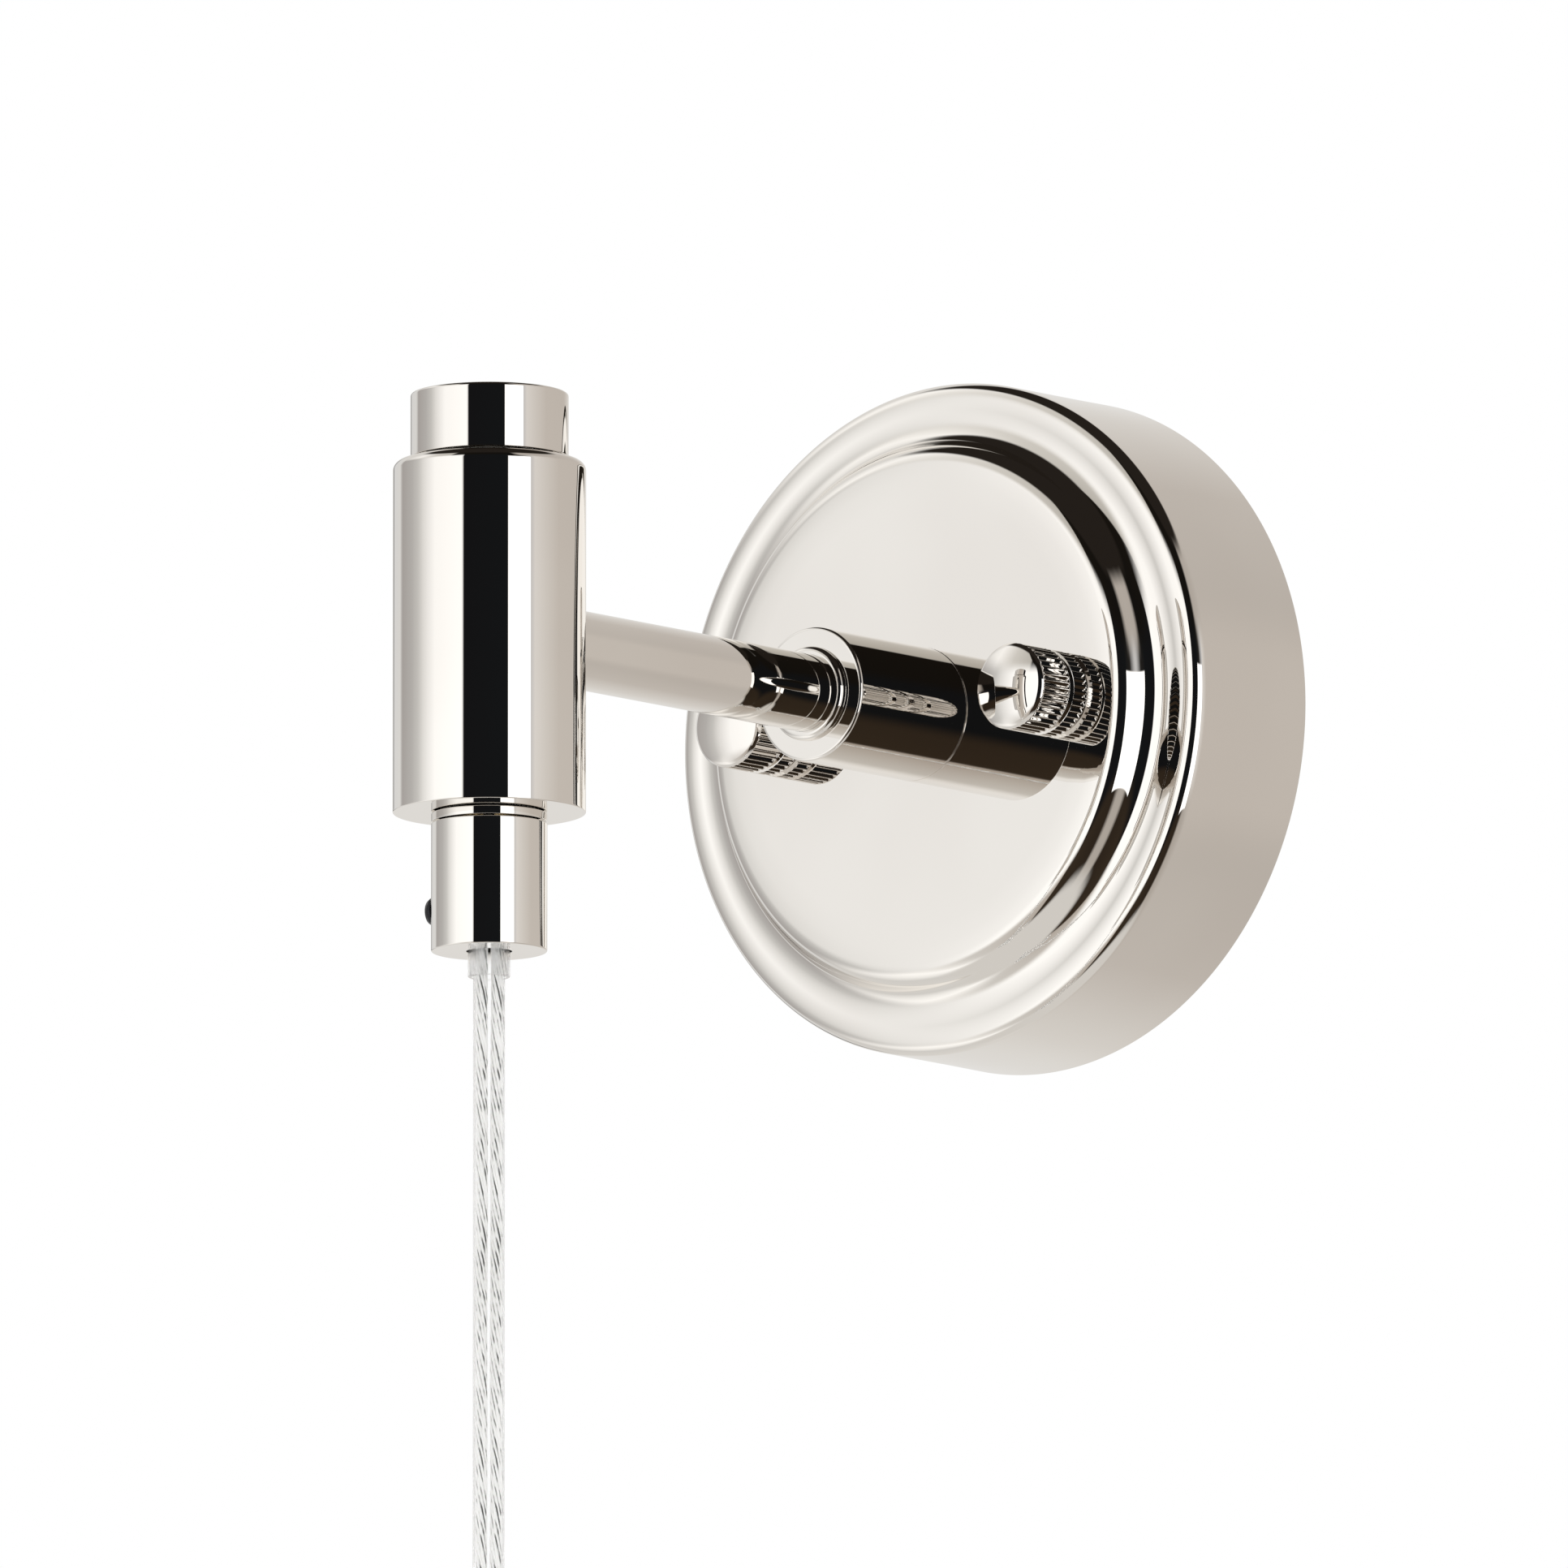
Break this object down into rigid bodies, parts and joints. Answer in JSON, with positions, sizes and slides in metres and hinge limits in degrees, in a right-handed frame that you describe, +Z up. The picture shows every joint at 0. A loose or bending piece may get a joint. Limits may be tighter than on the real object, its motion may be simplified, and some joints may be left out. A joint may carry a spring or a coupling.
{
  "type": "swing arm wall sconce",
  "caption": "Round wall plate with a fixed arm, an upright barrel with a swivelling hollow spindle, knurled cap nuts, and a clear flat cord hanging from the collar.",
  "frame": {"origin": "centre of the round plate, on the wall", "axes": "+Y into the wall, along the arm; the arm stands out along -Y; +Z up; +X to the right seen from the room"},
  "size_m": [0.1288, 0.198, 0.4102],
  "materials": {
    "polished_nickel": "mirror polished nickel plate",
    "zinc_steel": "zinc-plated steel",
    "green_steel": "green-coloured zinc plate",
    "brass": "plain turned brass",
    "spring_steel": "plain spring steel",
    "black_steel": "black oxide",
    "nylon": "natural nylon",
    "wire_jacket": "white wire insulation",
    "connector_plastic": "moulded shell",
    "clear_vinyl": "clear glossy vinyl",
    "tinned_copper": "bright tinned copper",
    "tie_plastic": "white strap"
  },
  "bodies": {
    "wall_plate": {"canopy": "polished_nickel", "mounting_strap": "zinc_steel", "ground_screw": "green_steel", "stud_left": "zinc_steel", "stud_right": "zinc_steel", "stud_nut_left": "zinc_steel", "stud_nut_right": "zinc_steel", "threaded_nipple": "brass", "lock_washer": "spring_steel", "nipple_nut": "brass", "boss": "polished_nickel", "arm_tube": "polished_nickel", "arm_ring": "polished_nickel", "barrel": "polished_nickel", "upper_bushing": "nylon", "lower_bushing": "nylon", "wire_grommet": "nylon", "lead_left": "wire_jacket", "lead_right": "wire_jacket", "wire_connector_left": "connector_plastic", "wire_connector_right": "connector_plastic"},
    "spindle_swivel": {"spindle": "brass", "stop_pin": "spring_steel", "cap": "polished_nickel", "friction_washer": "spring_steel", "neck_ring": "polished_nickel", "collar": "polished_nickel", "set_screw": "black_steel", "spindle_lead_left": "wire_jacket", "spindle_lead_right": "wire_jacket", "cord_sleeve": "clear_vinyl", "cord": "clear_vinyl", "cord_coil": "clear_vinyl", "cord_tail": "clear_vinyl", "coil_tie": "tie_plastic", "plug_body": "clear_vinyl", "plug_blade_neutral": "tinned_copper", "plug_blade_line": "tinned_copper"},
    "left_knob_washer": {"knob_washer_left": "nylon"},
    "left_knob": {"knob_left": "polished_nickel"},
    "right_knob_washer": {"knob_washer_right": "nylon"},
    "right_knob": {"knob_right": "polished_nickel"}
  },
  "joints": [
    {"name": "spindle_turn", "type": "hinge", "parent": "wall_plate", "child": "spindle_swivel", "pos_m": [0, -0.1625, 0], "axis": [0, 0, 1], "range_deg": [-145, 145]},
    {"name": "left_knob_travel", "type": "slide", "parent": "wall_plate", "child": "left_knob_washer", "axis": [0, -1, 0], "range_m": [0, 0.0063]},
    {"name": "left_knob_turn", "type": "hinge", "parent": "left_knob_washer", "child": "left_knob", "pos_m": [-0.03493, -0.045, 0], "axis": [0, -1, 0], "range_deg": [0, 2880]},
    {"name": "right_knob_travel", "type": "slide", "parent": "wall_plate", "child": "right_knob_washer", "axis": [0, -1, 0], "range_m": [0, 0.0063]},
    {"name": "right_knob_turn", "type": "hinge", "parent": "right_knob_washer", "child": "right_knob", "pos_m": [0.03493, -0.045, 0], "axis": [0, -1, 0], "range_deg": [0, 2880]}
  ],
  "couplings": [
    {"joint": "left_knob_turn", "follows": "left_knob_travel", "rad_per_m": 7915.8},
    {"joint": "right_knob_turn", "follows": "right_knob_travel", "rad_per_m": 7915.8}
  ]
}
